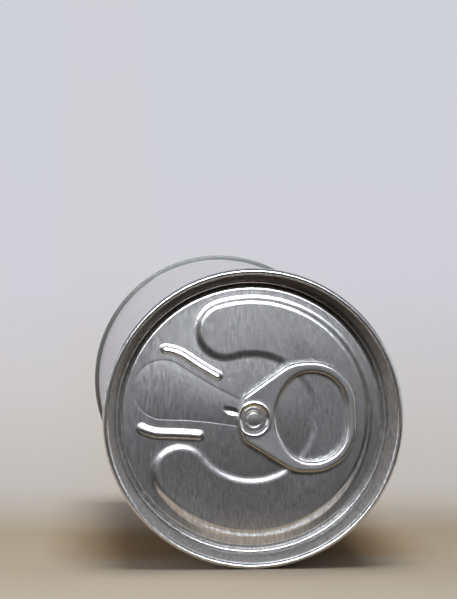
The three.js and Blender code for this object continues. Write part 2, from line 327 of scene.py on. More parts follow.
def make_piece(name, points, faces, material, node, normals=None):
    """A piece of the can. Where a point's own normal isn't zero, it is used for the shading."""
    mesh = bpy.data.meshes.new(name)
    mesh.from_pydata(world(points).tolist(), [], faces)
    shaper = bmesh.new()
    shaper.from_mesh(mesh)
    bmesh.ops.recalc_face_normals(shaper, faces=shaper.faces)
    shaper.to_mesh(mesh)
    shaper.free()
    mesh.shade_smooth()
    mesh.set_sharp_from_angle(angle=SHARP_ANGLE)
    if normals is not None:
        mesh.normals_split_custom_set_from_vertices(normals.tolist())
    mesh.materials.append(material)
    piece = bpy.data.objects.new(name, mesh)
    bpy.context.scene.collection.objects.link(piece)
    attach(piece, "root")
    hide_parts(node)


def rows_between(row, next_row):
    """Faces between two closed rows of point numbers."""
    return [(row[i - 1], row[i], next_row[i], next_row[i - 1]) for i in range(len(row))]


def turned(profile, sides=ROUND, x=0, y=0):
    """Points of a profile of radius and depth turned about a line along the can, row by row."""
    angles = np.arange(sides) * TURN / sides
    rows = [np.column_stack([x + r * np.cos(angles), y + r * np.sin(angles), np.full(sides, depth)])
            for r, depth in profile]
    return np.vstack(rows)


def turned_solid(profile, sides=ROUND, x=0, y=0):
    """A closed solid, turned from a profile that starts and ends on the axis."""
    inner = profile[1:-1]
    ends = [[x, y, profile[0][1]], [x, y, profile[-1][1]]]
    points = np.vstack([turned(inner, sides, x, y), ends])
    rows = np.arange(len(inner) * sides).reshape(len(inner), sides)
    faces = [face for i in range(len(inner) - 1) for face in rows_between(rows[i], rows[i + 1])]
    for tip, row in ((len(points) - 2, rows[0]), (len(points) - 1, rows[-1])):
        faces += [(row[i - 1], row[i], tip) for i in range(sides)]
    return points, faces


def arc_profile(radius, depth, size, start, end, steps):
    """Points on an arc of a profile, with angles in degrees from the outward radius towards the front."""
    angles = np.radians(np.linspace(start, end, steps + 1))
    return [(radius + size * math.cos(a), depth - size * math.sin(a)) for a in angles]


def straight_profile(start, end, steps):
    """Points on a straight stretch of a profile, without its ends."""
    return [tuple(np.array(start) + (np.array(end) - start) * i / steps) for i in range(1, steps)]


def hex_fill(reach, step):
    """Points of a triangular grid over a square."""
    columns = np.arange(-reach, reach, step)
    rows = np.arange(-reach, reach, step * math.sqrt(3) / 2)
    return np.vstack([np.column_stack([columns + step / 2 * (i % 2), np.full(len(columns), y)])
                      for i, y in enumerate(rows)])


def triangulate(loops, inner):
    """Delaunay triangles over closed loops and inner points: points, triangles and the loops' numbers."""
    points = [Vector(point) for point in np.vstack([*loops, inner])]
    edges = []
    numbers = []
    for loop in loops:
        first = sum(len(n) for n in numbers)
        numbers.append(np.arange(first, first + len(loop)))
        edges += [(int(a), int(b)) for a, b in zip(np.roll(numbers[-1], 1), numbers[-1])]
    kept, _, triangles, sources, _, _ = delaunay_2d_cdt(points, edges, [], 0, MERGE_DISTANCE)
    place = {source: i for i, group in enumerate(sources) for source in group}
    return np.array([p[:] for p in kept]), triangles, [[place[n] for n in group] for group in numbers]


# The double seam

def seam_profile():
    """The seam from the top of the chuck wall over its crest and down its outside to the plug."""
    half = SEAM_WIDTH / 2
    crest = arc_profile(SEAM_RADIUS - half, half, half, 180, 0, steps=24)
    curl = arc_profile(SEAM_RADIUS - SEAM_CURL, SEAM_HEIGHT - SEAM_CURL, SEAM_CURL, 0, -90, steps=8)
    return [*crest, *curl, (PLUG_RADIUS, SEAM_HEIGHT)]


# The panel of the top end

def strip_coordinates(x, y):
    """Coordinates along the tear strip and across it."""
    along = x * math.cos(STRIP_ANGLE) + y * math.sin(STRIP_ANGLE)
    across = y * math.cos(STRIP_ANGLE) - x * math.sin(STRIP_ANGLE)
    return along, across


def from_strip(points):
    along, across = points.T
    x = along * math.cos(STRIP_ANGLE) - across * math.sin(STRIP_ANGLE)
    y = along * math.sin(STRIP_ANGLE) + across * math.cos(STRIP_ANGLE)
    return np.column_stack([x, y])


def plateau_line():
    """The C's middle line, as an outline with no width."""
    end = PLATEAU_END
    far = TURN - PLATEAU_END
    x = PLATEAU_MID_RADIUS * math.cos(end)
    y = PLATEAU_MID_RADIUS * math.sin(end)
    return [
        Arc(0, 0, PLATEAU_MID_RADIUS, end, far),
        Arc(x, -y, 0, far, far + math.pi),
        Arc(0, 0, PLATEAU_MID_RADIUS, far, end, -1),
        Arc(x, y, 0, end + math.pi, end + TURN),
    ]


def flank():
    """Centre of the strip's upper flank, and the directions of its ends from the end and loop circles."""
    reach = TEAR_FLANK_RADIUS + TEAR_END_RADIUS
    x = TEAR_END_CENTRE - reach * math.sin(TEAR_FLANK_ANGLE)
    y = reach * math.cos(TEAR_FLANK_ANGLE)
    return x, y, math.pi / 2 + TEAR_FLANK_ANGLE, math.atan2(y, x)


def tear_line():
    x, y, end, loop = flank()
    return [
        Arc(TEAR_END_CENTRE, 0, TEAR_END_RADIUS, -end, end),
        Arc(x, y, TEAR_FLANK_RADIUS, end - math.pi, loop - math.pi, -1),
        Arc(0, 0, TEAR_LOOP_RADIUS, loop, TURN - loop),
        Arc(x, -y, TEAR_FLANK_RADIUS, math.pi - loop, math.pi - end, -1),
    ]


def bead_line(bead):
    """A bead's crest, as an outline with no width: along the flank, then round the strip's end."""
    x, y, end, _ = flank()
    radius = TEAR_FLANK_RADIUS - bead["offset"]
    end_radius = TEAR_END_RADIUS + bead["offset"]
    start = -math.acos((BEAD_INNER_REACH - x) / radius)
    join = end - math.pi
    stop = bead["end"]
    stop_x = TEAR_END_CENTRE + end_radius * math.cos(stop)
    stop_y = end_radius * math.sin(stop)
    return [
        Arc(x, y, radius, start, join),
        Arc(TEAR_END_CENTRE, 0, end_radius, end, stop, -1),
        Arc(stop_x, stop_y, 0, stop - math.pi, stop),
        Arc(TEAR_END_CENTRE, 0, end_radius, stop, end),
        Arc(x, y, radius, join, start, -1),
        Arc(x + radius * math.cos(start), y + radius * math.sin(start), 0, start + math.pi, start + TURN),
    ]


PLATEAU = plateau_line()
TEAR = tear_line()
BEADS = [(bead, bead_line(bead)) for bead in (UPPER_BEAD, LOWER_BEAD)]


def plateau_share(x, y):
    """How far the raised C stands up at points, from 0 to 1."""
    along, across = strip_coordinates(x, y)
    share = stamped((PLATEAU_FOOT - np.abs(outside(PLATEAU, along, across))) / PLATEAU_SLOPE)
    low_end = np.hypot(along - PLATEAU_MID_RADIUS * math.cos(PLATEAU_END),
                       across - PLATEAU_MID_RADIUS * math.sin(PLATEAU_END))
    share *= 1 - PLATEAU_LOW_END["loss"] * smooth(1 - low_end / PLATEAU_LOW_END["reach"])
    lee = smooth((PLATEAU_LEE["radius"] - np.hypot(x, y)) / PLATEAU_LEE["reach"])
    lee *= smooth((x - PLATEAU_LEE["from"]) / (PLATEAU_LEE["to"] - PLATEAU_LEE["from"]))
    return share * (1 - PLATEAU_LEE["loss"] * lee)


def bead_height(bead, line, along, across, tear):
    """Height of a bead, whose two sides meet in its crest."""
    lean = np.clip((tear - bead["offset"]) / bead["towards"], -1, 1) / 2 + 0.5
    width = bead["towards"] + (bead["away"] - bead["towards"]) * lean
    reach = np.clip(np.abs(outside(line, along, bead["side"] * across)) / width, 0, 1)
    return bead["height"] * stamped(1 - reach)


def panel_height(x, y):
    """Height of the panel's relief above its edge."""
    along, across = strip_coordinates(x, y)
    ground = DOME_HEIGHT * np.clip(1 - (np.hypot(x, y) / PANEL_RADIUS) ** 2, 0, 1) ** DOME_POWER
    rise = PLATEAU_HEIGHT - (1 - PLATEAU_CROWN) * ground
    tear = outside(TEAR, along, across)
    beads = sum(bead_height(bead, line, along, across, tear) for bead, line in BEADS)
    pillow = 1 - (1 - np.clip(-tear / PILLOW_WIDTH, 0, 1)) ** 2
    dimple = hump(np.hypot((along - DIMPLE_CENTRE) / DIMPLE_HALF_LENGTH, across / DIMPLE_HALF_WIDTH))
    return (ground + rise * plateau_share(x, y) + beads + PILLOW_HEIGHT * pillow
            - SCORE_DEPTH * stamped(0.5 - tear / SCORE_HALF_WIDTH / 2) - DIMPLE_DEPTH * dimple)


def panel_normals(x, y):
    step = NORMAL_STEP
    rise_x = (panel_height(x + step, y) - panel_height(x - step, y)) / (2 * step)
    rise_y = (panel_height(x, y + step) - panel_height(x, y - step)) / (2 * step)
    normals = np.column_stack([-rise_x, -np.ones_like(x), -rise_y])
    return normals / np.linalg.norm(normals, axis=1)[:, None]


def slope_lines():
    """Points on lines that follow the panel's relief, closer together than those on plain ground."""
    slope_top = PLATEAU_FOOT - PLATEAU_SLOPE - SLOPE_STEP
    slope_foot = PLATEAU_FOOT + 2 * SLOPE_STEP
    lines = [offset_loop(PLATEAU, distance, LINE_STEP)
             for distance in np.arange(slope_top, slope_foot, SLOPE_STEP)]
    for bead, line in BEADS:
        for distance in np.linspace(CREST_GAP, bead["away"] + SLOPE_STEP, BEAD_LINES):
            lines.append(offset_loop(line, distance, LINE_STEP) * (1, bead["side"]))
    for distance in np.linspace(-SCORE_SPREAD, SCORE_SPREAD, SCORE_LINES) * SCORE_HALF_WIDTH:
        lines.append(offset_loop(TEAR, distance, LINE_STEP))
    angles = np.arange(DIMPLE_SIDES) * TURN / DIMPLE_SIDES
    for share in np.linspace(0, DIMPLE_SPREAD, DIMPLE_RINGS):
        lines.append(np.column_stack([DIMPLE_CENTRE + share * DIMPLE_HALF_LENGTH * np.cos(angles),
                                      share * DIMPLE_HALF_WIDTH * np.sin(angles)]))
    return from_strip(np.vstack(lines))


def plain_ground():
    """Fill points on what the slope lines leave free."""
    x, y = hex_fill(PANEL_RADIUS, FILL_STEP).T
    along, across = strip_coordinates(x, y)
    margin = FILL_STEP / 2
    from_plateau = np.abs(np.abs(outside(PLATEAU, along, across)) - PLATEAU_FOOT + PLATEAU_SLOPE / 2)
    free = from_plateau > PLATEAU_SLOPE / 2 + SLOPE_STEP + margin
    for bead, line in BEADS:
        free &= np.abs(outside(line, along, bead["side"] * across)) > bead["away"] + SLOPE_STEP + margin
    free &= np.abs(outside(TEAR, along, across)) > SCORE_SPREAD * SCORE_HALF_WIDTH + margin
    free &= np.hypot(x, y) < PANEL_RADIUS - margin
    return np.column_stack([x, y])[free]


def top_shell_profile():
    """From the panel's edge over the shoulder, through the groove, over the seam and back underneath."""
    shoulder_depth = PANEL_EDGE_DEPTH + SHOULDER_ROUND
    shoulder = arc_profile(PANEL_RADIUS, shoulder_depth, SHOULDER_ROUND, 90, 0, steps=10)[1:]
    groove_half = (CHUCK_FOOT_RADIUS - SHOULDER_RADIUS) / 2
    groove_middle = (CHUCK_FOOT_RADIUS + SHOULDER_RADIUS) / 2
    groove_depth = COUNTERSINK_DEPTH - groove_half
    groove = arc_profile(groove_middle, groove_depth, groove_half, -180, 0, steps=20)[1:]
    foot = (CHUCK_FOOT_RADIUS, CHUCK_FOOT_DEPTH)
    seam = seam_profile()
    wall = [*straight_profile(groove[-1], foot, steps=4), foot, *straight_profile(foot, seam[0], steps=6)]
    underside = COUNTERSINK_DEPTH + FLOOR_THICKNESS
    return [*shoulder, *groove, *wall, *seam, (PLUG_RADIUS, underside)]


def top_end(material):
    rim = turned([(PANEL_RADIUS, PANEL_EDGE_DEPTH)])[:, :2]
    lines = slope_lines()
    inner = np.vstack([lines[np.hypot(*lines.T) < PANEL_RADIUS - SLOPE_STEP / 2], plain_ground()])
    flat, triangles, (rim_numbers,) = triangulate([rim], inner)
    x, y = flat.T
    panel = np.column_stack([x, y, PANEL_EDGE_DEPTH - panel_height(x, y)])
    profile = top_shell_profile()
    shell = turned(profile)
    tip = [[0, 0, profile[-1][1]]]
    points = np.vstack([panel, shell, tip])
    rows = len(panel) + np.arange(len(shell)).reshape(len(profile), ROUND)
    faces = list(triangles) + rows_between(rim_numbers, rows[0])
    for i in range(len(profile) - 1):
        faces += rows_between(rows[i], rows[i + 1])
    faces += [(rows[-1][i - 1], rows[-1][i], len(points) - 1) for i in range(ROUND)]
    normals = np.zeros_like(points)
    normals[: len(panel)] = panel_normals(x, y)
    make_piece("top_end_sheet", points, faces, material, "top_end", normals)


# The rivet

def rivet(material):
    stem = RIVET_STEM
    flange = RIVET_FLANGE
    fillet = RIVET_FILLET
    button = RIVET_BUTTON
    edge = (flange["top"] - flange["underside"]) / 2
    corner = edge * RIVET_FLANGE_CORNER
    heights = [
        (0, stem["foot"]),
        (stem["radius"], stem["foot"]),
        (stem["radius"], flange["underside"]),
        (flange["radius"] - edge, flange["underside"]),
        (flange["radius"], flange["underside"] + edge),
        (flange["radius"] - corner, flange["top"] - corner),
        (flange["radius"] - edge, flange["top"]),
        (fillet["radius"] + fillet["half_width"], fillet["foot"]),
        (fillet["radius"], fillet["middle"]),
        (fillet["radius"] - fillet["half_width"], fillet["top"]),
        (button["foot_radius"], button["foot"]),
    ]
    top = TAB_DATUM - button["top"]
    bend = button["round"]
    profile = [(radius, TAB_DATUM - height) for radius, height in heights]
    profile += arc_profile(button["radius"] - bend, top + bend, bend, 0, 90, steps=6)
    profile.append((0, top))
    points, faces = turned_solid(profile, RIVET_ROUND, RIVET_X, RIVET_Y)
    make_piece("rivet", points, faces, material, "top_end")


# The ring tab

def tab_outline():
    below = [(x, -y, radius) for x, y, radius in (TAB_EAR, TAB_SHOULDER, TAB_CORNER)]
    return circles_outline([*below, TAB_CORNER, TAB_SHOULDER, TAB_EAR, (0, 0, TAB_NOSE_RADIUS)])


def ring_outline():
    """The finger hole: round corners towards the ring's end, and an oval towards the rivet."""
    radius = RING_FRONT["radius"]
    half_height = RING_FRONT["y"] + radius
    back_y = half_height - RING_BACK["radius"]
    reach = RING_BACK["reach"]
    bow = (reach**2 + back_y**2 - RING_BACK["radius"] ** 2) / (2 * (reach - RING_BACK["radius"]))
    bow_x = RING_X - reach + bow
    swing = math.atan2(back_y, RING_X - bow_x)
    end_x = RING_X + radius
    return [
        Arc(RING_X, -RING_FRONT["y"], radius, -math.pi / 2, 0),
        Line((end_x, -RING_FRONT["y"]), (end_x, RING_FRONT["y"])),
        Arc(RING_X, RING_FRONT["y"], radius, 0, math.pi / 2),
        Arc(RING_X, back_y, RING_BACK["radius"], math.pi / 2, swing),
        Arc(bow_x, 0, bow, swing, TURN - swing),
        Arc(RING_X, -back_y, RING_BACK["radius"], TURN - swing, 3 * math.pi / 2),
    ]


TAB = tab_outline()
RING = ring_outline()


def tab_edge(x, y):
    """Distance of points on the tab from its nearest edge, the rivet hole's aside."""
    return np.minimum(-outside(TAB, x, y), outside(RING, x, y))


def tab_faces(x, y):
    """Heights of the tab's front and back."""
    inward = np.clip(1 - tab_edge(x, y) / TAB_EDGE_WIDTH, 0, 1)
    swell = TAB_ROUND * np.sqrt(1 - inward**2)
    radius = np.hypot(x, y)
    collar = TAB_COLLAR["height"] * hump((radius - TAB_COLLAR["radius"]) / TAB_COLLAR["half_width"])
    middle = TAB_MIDDLE - TAB_LEAN * y + TAB_BOW * y**2
    front = middle + swell + collar
    rise = (radius - TAB_DISH["floor_radius"]) / (TAB_DISH["rim_radius"] - TAB_DISH["floor_radius"])
    return TAB_DISH["floor"] + (front - TAB_DISH["floor"]) * smooth(rise), middle - swell


def tab_points():
    """Points on the tab inside its outlines: lines along the edges, rings round the rivet, and fill."""
    edge_angles = np.linspace(1 / TAB_EDGE_LINES, 1, TAB_EDGE_LINES) * math.pi / 2
    edge_lines = TAB_EDGE_WIDTH * (1 - np.cos(edge_angles))
    lines = np.vstack([offset_loop(TAB, -distance, LINE_STEP) for distance in edge_lines]
                      + [offset_loop(RING, distance, LINE_STEP) for distance in edge_lines])
    ring_radii = np.arange(TAB_RINGS["first"], TAB_RINGS["end"], TAB_RINGS["step"])
    rings = np.vstack([offset_loop(circle(0, 0, radius), 0, HOLE_STEP) for radius in ring_radii])
    fill = hex_fill(TAB_FILL_REACH, FILL_STEP)
    clear = tab_edge(*fill.T) > TAB_EDGE_WIDTH + FILL_STEP / 2
    clear &= np.hypot(*fill.T) > TAB_RINGS["end"] + FILL_STEP / 2
    clear_rings = tab_edge(*rings.T) > TAB_EDGE_WIDTH * TAB_RING_MARGIN
    near_rivet = np.hypot(*lines.T) < TAB_DISH["floor_radius"]
    return np.vstack([lines[~near_rivet], rings[clear_rings], fill[clear]])


def tab_place(x, y):
    """From the tab's own coordinates to the can's."""
    can_x = RIVET_X + x * math.cos(TAB_TURN) - y * math.sin(TAB_TURN)
    can_y = RIVET_Y + x * math.sin(TAB_TURN) + y * math.cos(TAB_TURN)
    return can_x, can_y


def ring_tab(material):
    """The tab's front and back, which share the points along its edges."""
    loops = [offset_loop(TAB, 0, LINE_STEP), offset_loop(RING, 0, LINE_STEP),
             offset_loop(circle(0, 0, TAB_HOLE_RADIUS), 0, HOLE_STEP)]
    flat, triangles, (rim, ring, hole) = triangulate(loops, tab_points())
    centres = flat[np.array(triangles)].mean(axis=1)
    solid = (tab_edge(*centres.T) > 0) & (np.hypot(*centres.T) > TAB_HOLE_RADIUS)
    front, back = tab_faces(*flat.T)
    front[rim + ring] = (front + back)[rim + ring] / 2
    front[hole] = (TAB_DISH["floor"] + TAB_UNDERSIDE) / 2
    shared = set(rim + ring + hole)
    own_back = [i for i in range(len(flat)) if i not in shared]
    behind = {i: i for i in shared}
    behind.update((i, len(flat) + place) for place, i in enumerate(own_back))
    faces = []
    for triangle in np.array(triangles)[solid].tolist():
        faces.append(tuple(triangle))
        faces.append(tuple(behind[i] for i in reversed(triangle)))
    heights = np.concatenate([front, back[own_back]])
    x, y = tab_place(*np.vstack([flat, flat[own_back]]).T)
    points = np.column_stack([x, y, TAB_DATUM - heights])
    make_piece("ring_tab", points, faces, material, "pull_tab")


# The body wall and the bottom end

def body_wall(material):
    """The straight wall with its lap, filled behind both ends."""
    top_inside = COUNTERSINK_DEPTH + FLOOR_THICKNESS + FILLING_GAP
    base_inside = CAN_LENGTH - BASE_COUNTERSINK_DEPTH - FLOOR_THICKNESS - FILLING_GAP
    wall_front = SEAM_HEIGHT - SEAM_TUCK
    wall_back = CAN_LENGTH - wall_front
    ends = [SEAM_HEIGHT + LAP_END - LAP_EDGE, SEAM_HEIGHT + LAP_END]
    wall = [wall_front, *ends, CAN_LENGTH / 2, *(CAN_LENGTH - depth for depth in reversed(ends)), wall_back]
    profile = [(0, top_inside), (WALL_INSIDE, top_inside), (WALL_INSIDE, wall_front)]
    profile += [(BODY_RADIUS, depth) for depth in wall]
    profile += [(WALL_INSIDE, wall_back), (WALL_INSIDE, base_inside), (0, base_inside)]
    points, faces = turned_solid(profile)
    x, y, depth = points.T
    radius = np.hypot(x, y)
    swing = (np.arctan2(y, x) - LAP_ANGLE + math.pi) % TURN - math.pi
    across = smooth((LAP_WIDTH / 2 - np.abs(swing) * BODY_RADIUS) / LAP_EDGE)
    lengthwise = (depth > ends[1] - LAP_EDGE / 2) & (depth < CAN_LENGTH - ends[1] + LAP_EDGE / 2)
    on_wall = radius > (WALL_INSIDE + BODY_RADIUS) / 2
    lap = LAP_HEIGHT * across * lengthwise * on_wall
    points[:, :2] *= (1 + lap / np.maximum(radius, 1))[:, None]
    make_piece("body_wall", points, faces, material, "can_body")


def bottom_end(material):
    panel = BASE_PANEL_DEPTH
    step = [(BASE_STEP_RADIUS - BASE_STEP_WIDTH * (1 - share),
             panel - BASE_STEP_HEIGHT * (1 - smooth(share)))
            for share in np.linspace(0, 1, BASE_STEP_POINTS)]
    shoulder_radius = BASE_SHOULDER_RADIUS - BASE_SHOULDER_ROUND
    shoulder_depth = panel + BASE_SHOULDER_ROUND
    shoulder = arc_profile(shoulder_radius, shoulder_depth, BASE_SHOULDER_ROUND, 90, 0, steps=8)
    groove_half = (BASE_CHUCK_FOOT_RADIUS - BASE_SHOULDER_RADIUS) / 2
    groove_middle = (BASE_CHUCK_FOOT_RADIUS + BASE_SHOULDER_RADIUS) / 2
    groove_depth = BASE_COUNTERSINK_DEPTH - groove_half
    groove = arc_profile(groove_middle, groove_depth, groove_half, -180, 0, steps=16)
    inside = BASE_COUNTERSINK_DEPTH + FLOOR_THICKNESS
    profile = [(0, panel - BASE_STEP_HEIGHT), *step, *shoulder, *groove, *seam_profile(),
               (PLUG_RADIUS, inside), (0, inside)]
    points, faces = turned_solid([(radius, CAN_LENGTH - height) for radius, height in profile])
    make_piece("bottom_end_sheet", points, faces, material, "bottom_end")


# Nodes for the materials, each added to a node tree

def grey(value):
    return (value, value, value)


def new_material(name):
    """A material with its node tree and its shader."""
    material = bpy.data.materials.new(name)
    material.use_nodes = True
    tree = material.node_tree
    return material, tree, tree.nodes["Principled BSDF"]


def connect(tree, shader, colour, roughness, normal):
    tree.links.new(colour, shader.inputs["Base Color"])
    tree.links.new(roughness, shader.inputs["Roughness"])
    tree.links.new(normal, shader.inputs["Normal"])


def coordinates(tree, kind):
    """The x, y and z of one kind of texture coordinate."""
    place = tree.nodes.new("ShaderNodeTexCoord")
    split = tree.nodes.new("ShaderNodeSeparateXYZ")
    tree.links.new(place.outputs[kind], split.inputs["Vector"])
    return split.outputs


def mapped_place(tree, location, scale):
    """A point in the object's own coordinates, scaled and then moved."""
    place = tree.nodes.new("ShaderNodeTexCoord")
    mapping = tree.nodes.new("ShaderNodeMapping")
    mapping.inputs["Location"].default_value = location
    mapping.inputs["Scale"].default_value = scale
    tree.links.new(place.outputs["Object"], mapping.inputs["Vector"])
    return mapping.outputs["Vector"]


def stretched_noise(tree, cell, detail=3):
    """Noise with cells of this size in millimetres along x, y and z."""
    place = mapped_place(tree, (0, 0, 0), [1 / (size * MM) for size in cell])
    noise = tree.nodes.new("ShaderNodeTexNoise")
    noise.inputs["Scale"].default_value = 1
    noise.inputs["Detail"].default_value = detail
    tree.links.new(place, noise.inputs["Vector"])
    return noise.outputs["Fac"]


def colour_range(tree, noise, low, high):
    ramp = tree.nodes.new("ShaderNodeValToRGB")
    for element, position, colour in zip(ramp.color_ramp.elements, NOISE_RANGE, (low, high)):
        element.position = position
        element.color = (*colour, 1)
    tree.links.new(noise, ramp.inputs["Fac"])
    return ramp.outputs["Color"]


def value_range(tree, noise, low, high):
    scale = tree.nodes.new("ShaderNodeMapRange")
    scale.inputs["From Min"].default_value = NOISE_RANGE[0]
    scale.inputs["From Max"].default_value = NOISE_RANGE[1]
    scale.inputs["To Min"].default_value = low
    scale.inputs["To Max"].default_value = high
    tree.links.new(noise, scale.inputs["Value"])
    return scale.outputs["Result"]


def bump(tree, source, depth):
    """Fine relief of this depth, in millimetres."""
    node = tree.nodes.new("ShaderNodeBump")
    node.inputs["Strength"].default_value = 1
    node.inputs["Distance"].default_value = depth * MM
    tree.links.new(source, node.inputs["Height"])
    return node.outputs["Normal"]


def colour_along(tree, source, stops):
    """A colour that changes along a coordinate from the first stop to the last."""
    low = stops[0][0]
    high = stops[-1][0]
    span = tree.nodes.new("ShaderNodeMapRange")
    span.inputs["From Min"].default_value = low
    span.inputs["From Max"].default_value = high
    ramp = tree.nodes.new("ShaderNodeValToRGB")
    while len(ramp.color_ramp.elements) < len(stops):
        ramp.color_ramp.elements.new(0.5)
    for element, (place, colour) in zip(ramp.color_ramp.elements, stops):
        element.position = (place - low) / (high - low)
        element.color = (*colour, 1)
    tree.links.new(source, span.inputs["Value"])
    tree.links.new(span.outputs["Result"], ramp.inputs["Fac"])
    return ramp.outputs["Color"]


def by_radius(tree, stops):
    """A colour that changes with the distance from the can's axis, in millimetres at its stops."""
    length = tree.nodes.new("ShaderNodeVectorMath")
    length.operation = "LENGTH"
    tree.links.new(mapped_place(tree, (0, 0, -AXIS_HEIGHT * MM), (1, 0, 1)), length.inputs[0])
    in_metres = [(radius * MM, shade) for radius, shade in stops]
    return colour_along(tree, length.outputs["Value"], in_metres)


def by_height(tree, stops):
    """A colour that changes with the height above the can's axis, in millimetres at its stops."""
    height = coordinates(tree, "Object")["Z"]
    in_metres = [((AXIS_HEIGHT + rise) * MM, shade) for rise, shade in stops]
    return colour_along(tree, height, in_metres)


def by_facing(tree, stops):
    """A colour that changes with how far a surface faces up, from -1 to 1."""
    return colour_along(tree, coordinates(tree, "Normal")["Z"], stops)


def blended(tree, share, colour):
    """White where the share is 0, and the colour where it is 1."""
    mix = tree.nodes.new("ShaderNodeMix")
    mix.data_type = "RGBA"
    mix.inputs["A"].default_value = (*WHITE, 1)
    tree.links.new(share, mix.inputs["Factor"])
    tree.links.new(colour, mix.inputs["B"])
    return mix.outputs["Result"]


def darkened(tree, colour, shade):
    mix = tree.nodes.new("ShaderNodeMix")
    mix.data_type = "RGBA"
    mix.blend_type = "MULTIPLY"
    mix.inputs["Factor"].default_value = 1
    tree.links.new(colour, mix.inputs["A"])
    tree.links.new(shade, mix.inputs["B"])
    return mix.outputs["Result"]


def calculated(tree, operation, *values):
    node = tree.nodes.new("ShaderNodeMath")
    node.operation = operation
    for value, socket in zip(values, node.inputs):
        tree.links.new(value, socket)
    return node.outputs["Value"]


# Materials of the can

def rolled_sheet(tree, shader, low, high, roughness, grain, depth):
    """Colour, roughness and normal of bare sheet with the fine streaks that the rolls leave along it."""
    streaks = stretched_noise(tree, grain)
    clouds = stretched_noise(tree, SHEET_CLOUDS)
    shader.inputs["Metallic"].default_value = 1
    shader.inputs["Specular IOR Level"].default_value = 0
    shader.inputs["Anisotropic"].default_value = SHEET_ANISOTROPY
    colour = colour_range(tree, streaks, low, high)
    return colour, value_range(tree, clouds, *roughness), bump(tree, streaks, depth)


def end_aluminium():
    """Bright sheet with painted shade in the groove at the panel's edge and on the scuffed chuck wall,
    darkest on top.
    """
    material, tree, shader = new_material("end_aluminium")
    # Painted shade: the colour is darkened in the countersink groove and on the chuck wall, where shade
    # falls in the recess.
    painted_recess_shade = [(29.75, WHITE), (29.95, (0.85, 0.83, 0.81)), (30.2, (0.78, 0.75, 0.72)),
             (30.5, (0.85, 0.83, 0.81)), (30.85, WHITE), (31.45, WHITE), (31.65, (0.6, 0.58, 0.565)),
             (32.6, (0.63, 0.61, 0.6)), (32.74, WHITE)]
    scuffs = [(31.45, BLACK), (31.65, grey(0.26)), (32.55, grey(0.26)), (32.75, BLACK)]
    metal = [(31.45, WHITE), (31.65, grey(0.1)), (32.5, grey(0.1)), (32.75, WHITE)]
    # Painted shade: the groove and chuck wall get darker the higher they lie, darkest on top, where the
    # upper wall is in shade.
    painted_shade_reach = [(29.8, BLACK), (30.05, grey(0.6)), (30.4, grey(0.6)), (30.6, WHITE), (32.6, WHITE),
                   (32.75, BLACK)]
    painted_top_shade = [(-30, grey(0.74)), (-22, grey(0.88)), (-8, WHITE), (3, WHITE), (8, (0.93, 0.92, 0.91)),
             (13.5, (0.63, 0.61, 0.59)), (20, (0.38, 0.355, 0.335)), (25, (0.22, 0.195, 0.18)),
             (30, (0.18, 0.155, 0.14))]
    colour, roughness, normal = rolled_sheet(
        tree, shader, low=(0.56, 0.56, 0.565), high=(0.99, 0.99, 0.995), roughness=(0.25, 0.265),
        grain=(0.32, 1.6, 1.8), depth=0.0001)
    colour = darkened(tree, colour, by_radius(tree, painted_recess_shade))
    colour = darkened(tree, colour, blended(tree, by_radius(tree, painted_shade_reach), by_height(tree, painted_top_shade)))
    roughness = calculated(tree, "ADD", roughness, by_radius(tree, scuffs))
    tree.links.new(by_radius(tree, metal), shader.inputs["Metallic"])
    connect(tree, shader, colour, roughness, normal)
    return material


def tab_aluminium():
    """Smooth bright sheet, with a painted olive reflection and shade on what faces down."""
    material, tree, shader = new_material("tab_aluminium")
    # Painted reflection and shade: surfaces that face down are tinted olive and darkened.
    painted_underside_reflection = [(-1, (0.58, 0.5, 0.37)), (-0.35, (0.62, 0.54, 0.4)), (-0.1, WHITE), (1, WHITE)]
    colour, roughness, normal = rolled_sheet(
        tree, shader, low=(0.8, 0.8, 0.805), high=(0.92, 0.92, 0.925), roughness=(0.24, 0.26),
        grain=(0.5, 0.5, 0.5), depth=0.0002)
    connect(tree, shader, darkened(tree, colour, by_facing(tree, painted_underside_reflection)), roughness, normal)
    return material


def base_tinplate():
    """Grey tinplate, dulled on the seam."""
    material, tree, shader = new_material("base_tinplate")
    metal = [(31.8, WHITE), (32.6, grey(0.35))]
    colour, roughness, normal = rolled_sheet(
        tree, shader, low=(0.31, 0.33, 0.31), high=(0.39, 0.41, 0.39), roughness=(0.2, 0.25),
        grain=(0.3, 3, 0.3), depth=0.0003)
    tree.links.new(by_radius(tree, metal), shader.inputs["Metallic"])
    connect(tree, shader, colour, roughness, normal)
    return material


def enamel():
    """White can enamel: a thin glossy coat over faintly uneven, slightly lilac white."""
    material, tree, shader = new_material("white_enamel")
    clouds = stretched_noise(tree, cell=(6, 30, 6))
    peel = stretched_noise(tree, cell=(0.9, 0.9, 0.9), detail=1)
    shader.inputs["Coat Weight"].default_value = 0.1
    shader.inputs["Specular IOR Level"].default_value = 0.15
    shader.inputs["Coat Roughness"].default_value = 0.12
    colour = colour_range(tree, clouds, low=(0.46, 0.44, 0.465), high=(0.485, 0.465, 0.495))
    roughness = value_range(tree, clouds, low=0.28, high=0.38)
    connect(tree, shader, colour, roughness, bump(tree, peel, depth=0.004))
    return material


# Stage

